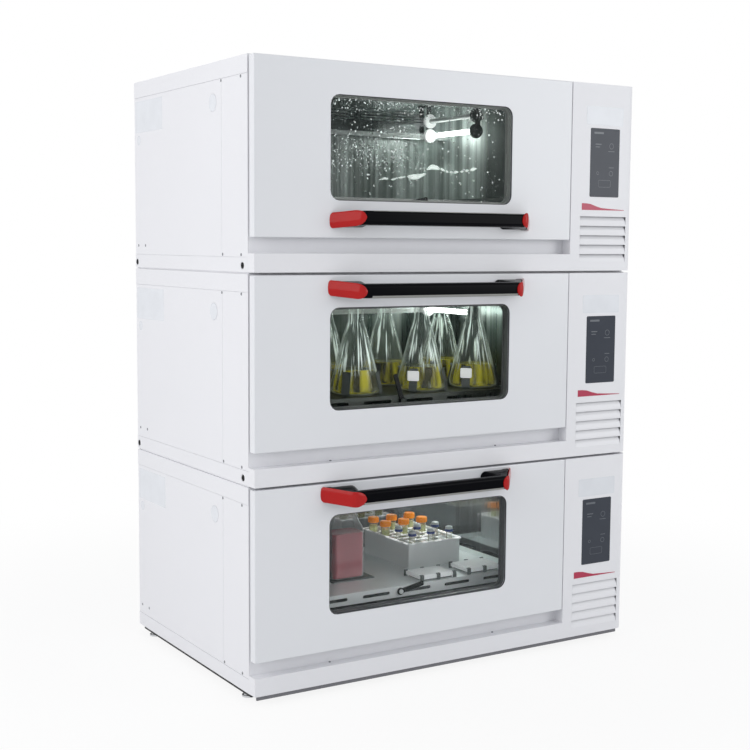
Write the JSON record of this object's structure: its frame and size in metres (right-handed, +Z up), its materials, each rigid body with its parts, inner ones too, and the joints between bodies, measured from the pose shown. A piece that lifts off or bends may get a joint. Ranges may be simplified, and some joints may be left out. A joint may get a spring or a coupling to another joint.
{
  "type": "carbon dioxide shaking incubator",
  "caption": "Stacked carbon dioxide shaking incubator with hinged windowed doors, bar handles, orbital shaker trays in steel chambers, a control column and levelling feet.",
  "frame": {"origin": "centre of the bounding box, on the floor under the levelling feet", "axes": "+X to the right of someone facing the doors, towards the control column, +Y to the back, +Z up"},
  "size_m": [1.335, 0.9172, 1.7672],
  "materials": {
    "white_paint": "satin white powder coat",
    "door_paint": "smooth white powder coat, a little cooler",
    "polished_steel": "mirror-polished stainless steel",
    "satin_steel": "satin stainless steel",
    "glass": "clear double glazing",
    "seal_rubber": "matt black rubber",
    "handle_black": "gloss black",
    "handle_red": "lacquered dark red",
    "panel_glass": "dark glossy display glass",
    "lamp_white": "white lamp tube and holders",
    "black_steel": "black",
    "cast_grey": "bare grey casting",
    "foot_rubber": "matt black"
  },
  "bodies": {
    "cabinet": {"bottom_cabinet_shell": "white_paint", "bottom_side_cover": "white_paint", "bottom_front_fascia": "white_paint", "bottom_touch_panel": "panel_glass", "bottom_chamber_liner": "polished_steel", "bottom_door_seal": "seal_rubber", "bottom_air_duct": "satin_steel", "bottom_chamber_lamp": "lamp_white", "bottom_drive_motor": "cast_grey", "middle_cabinet_shell": "white_paint", "middle_side_cover": "white_paint", "middle_front_fascia": "white_paint", "middle_touch_panel": "panel_glass", "middle_chamber_liner": "polished_steel", "middle_door_seal": "seal_rubber", "middle_air_duct": "satin_steel", "middle_chamber_lamp": "lamp_white", "middle_drive_motor": "cast_grey", "top_cabinet_shell": "white_paint", "top_side_cover": "white_paint", "top_front_fascia": "white_paint", "top_touch_panel": "panel_glass", "top_chamber_liner": "polished_steel", "top_door_seal": "seal_rubber", "top_air_duct": "satin_steel", "top_chamber_lamp": "lamp_white", "top_drive_motor": "cast_grey", "base_frame": "black_steel"},
    "bottom_door": {"bottom_door_panel": "door_paint", "bottom_door_window": "glass", "bottom_handle_bar": "handle_black", "bottom_handle_cap_left": "handle_red", "bottom_handle_cap_right": "handle_red"},
    "bottom_crank": {"bottom_drive_crank": "cast_grey"},
    "bottom_tray": {"bottom_shaker_tray": "satin_steel", "bottom_tube_rack": "satin_steel"},
    "bottom_lever": {"bottom_tray_lever": "black_steel"},
    "bottom_fan": {"bottom_circulation_fan": "cast_grey"},
    "middle_door": {"middle_door_panel": "door_paint", "middle_door_window": "glass", "middle_handle_bar": "handle_black", "middle_handle_cap_left": "handle_red", "middle_handle_cap_right": "handle_red"},
    "middle_crank": {"middle_drive_crank": "cast_grey"},
    "middle_tray": {"middle_shaker_tray": "satin_steel"},
    "middle_lever": {"middle_tray_lever": "black_steel"},
    "middle_fan": {"middle_circulation_fan": "cast_grey"},
    "top_door": {"top_door_panel": "door_paint", "top_door_window": "glass", "top_handle_bar": "handle_black", "top_handle_cap_left": "handle_red", "top_handle_cap_right": "handle_red"},
    "top_crank": {"top_drive_crank": "cast_grey"},
    "top_tray": {"top_shaker_tray": "satin_steel"},
    "top_lever": {"top_tray_lever": "black_steel"},
    "top_fan": {"top_circulation_fan": "cast_grey"},
    "foot_front_left": {"levelling_foot_front_left": "foot_rubber"},
    "foot_front_right": {"levelling_foot_front_right": "foot_rubber"},
    "foot_rear_left": {"levelling_foot_rear_left": "foot_rubber"},
    "foot_rear_right": {"levelling_foot_rear_right": "foot_rubber"}
  },
  "joints": [
    {"name": "bottom_door_hinge", "type": "hinge", "parent": "cabinet", "child": "bottom_door", "pos_m": [-0.128, -0.36325, 0.134], "axis": [1, 0, 0], "range_deg": [0, 90]},
    {"name": "bottom_crank_turn", "type": "hinge", "parent": "cabinet", "child": "bottom_crank", "pos_m": [-0.125, -0.03225, 0.175], "axis": [0, 0, 1], "continuous": true},
    {"name": "bottom_tray_turn", "type": "hinge", "parent": "bottom_crank", "child": "bottom_tray", "pos_m": [-0.1125, -0.03225, 0.195], "axis": [0, 0, 1], "continuous": true},
    {"name": "bottom_lever_turn", "type": "hinge", "parent": "bottom_tray", "child": "bottom_lever", "pos_m": [-0.115, -0.25425, 0.224], "axis": [0, 1, 0], "range_deg": [-110, 0]},
    {"name": "bottom_fan_spin", "type": "hinge", "parent": "cabinet", "child": "bottom_fan", "pos_m": [-0.3675, 0.24875, 0.52235], "axis": [0, 1, 0], "continuous": true},
    {"name": "middle_door_hinge", "type": "hinge", "parent": "cabinet", "child": "middle_door", "pos_m": [-0.128, -0.36325, 0.714], "axis": [1, 0, 0], "range_deg": [0, 90]},
    {"name": "middle_crank_turn", "type": "hinge", "parent": "cabinet", "child": "middle_crank", "pos_m": [-0.125, -0.03225, 0.755], "axis": [0, 0, 1], "continuous": true},
    {"name": "middle_tray_turn", "type": "hinge", "parent": "middle_crank", "child": "middle_tray", "pos_m": [-0.1125, -0.03225, 0.775], "axis": [0, 0, 1], "continuous": true},
    {"name": "middle_lever_turn", "type": "hinge", "parent": "middle_tray", "child": "middle_lever", "pos_m": [-0.115, -0.25425, 0.804], "axis": [0, 1, 0], "range_deg": [0, 110]},
    {"name": "middle_fan_spin", "type": "hinge", "parent": "cabinet", "child": "middle_fan", "pos_m": [-0.3675, 0.24875, 1.10235], "axis": [0, 1, 0], "continuous": true},
    {"name": "top_door_hinge", "type": "hinge", "parent": "cabinet", "child": "top_door", "pos_m": [-0.128, -0.36325, 1.751], "axis": [-1, 0, 0], "range_deg": [0, 90]},
    {"name": "top_crank_turn", "type": "hinge", "parent": "cabinet", "child": "top_crank", "pos_m": [-0.125, -0.03225, 1.335], "axis": [0, 0, 1], "continuous": true},
    {"name": "top_tray_turn", "type": "hinge", "parent": "top_crank", "child": "top_tray", "pos_m": [-0.1125, -0.03225, 1.355], "axis": [0, 0, 1], "continuous": true},
    {"name": "top_lever_turn", "type": "hinge", "parent": "top_tray", "child": "top_lever", "pos_m": [-0.115, -0.25425, 1.384], "axis": [0, 1, 0], "range_deg": [-110, 0]},
    {"name": "top_fan_spin", "type": "hinge", "parent": "cabinet", "child": "top_fan", "pos_m": [-0.3675, 0.24875, 1.68235], "axis": [0, 1, 0], "continuous": true},
    {"name": "foot_front_left_turn", "type": "hinge", "parent": "cabinet", "child": "foot_front_left", "pos_m": [-0.6375, -0.27925, 0.019], "axis": [0, 0, 1], "continuous": true},
    {"name": "foot_front_right_turn", "type": "hinge", "parent": "cabinet", "child": "foot_front_right", "pos_m": [0.6375, -0.27925, 0.019], "axis": [0, 0, 1], "continuous": true},
    {"name": "foot_rear_left_turn", "type": "hinge", "parent": "cabinet", "child": "foot_rear_left", "pos_m": [-0.6375, 0.39675, 0.019], "axis": [0, 0, 1], "continuous": true},
    {"name": "foot_rear_right_turn", "type": "hinge", "parent": "cabinet", "child": "foot_rear_right", "pos_m": [0.6375, 0.39675, 0.019], "axis": [0, 0, 1], "continuous": true}
  ],
  "couplings": [
    {"joint": "bottom_tray_turn", "follows": "bottom_crank_turn", "ratio": -1},
    {"joint": "middle_tray_turn", "follows": "middle_crank_turn", "ratio": -1},
    {"joint": "top_tray_turn", "follows": "top_crank_turn", "ratio": -1}
  ]
}
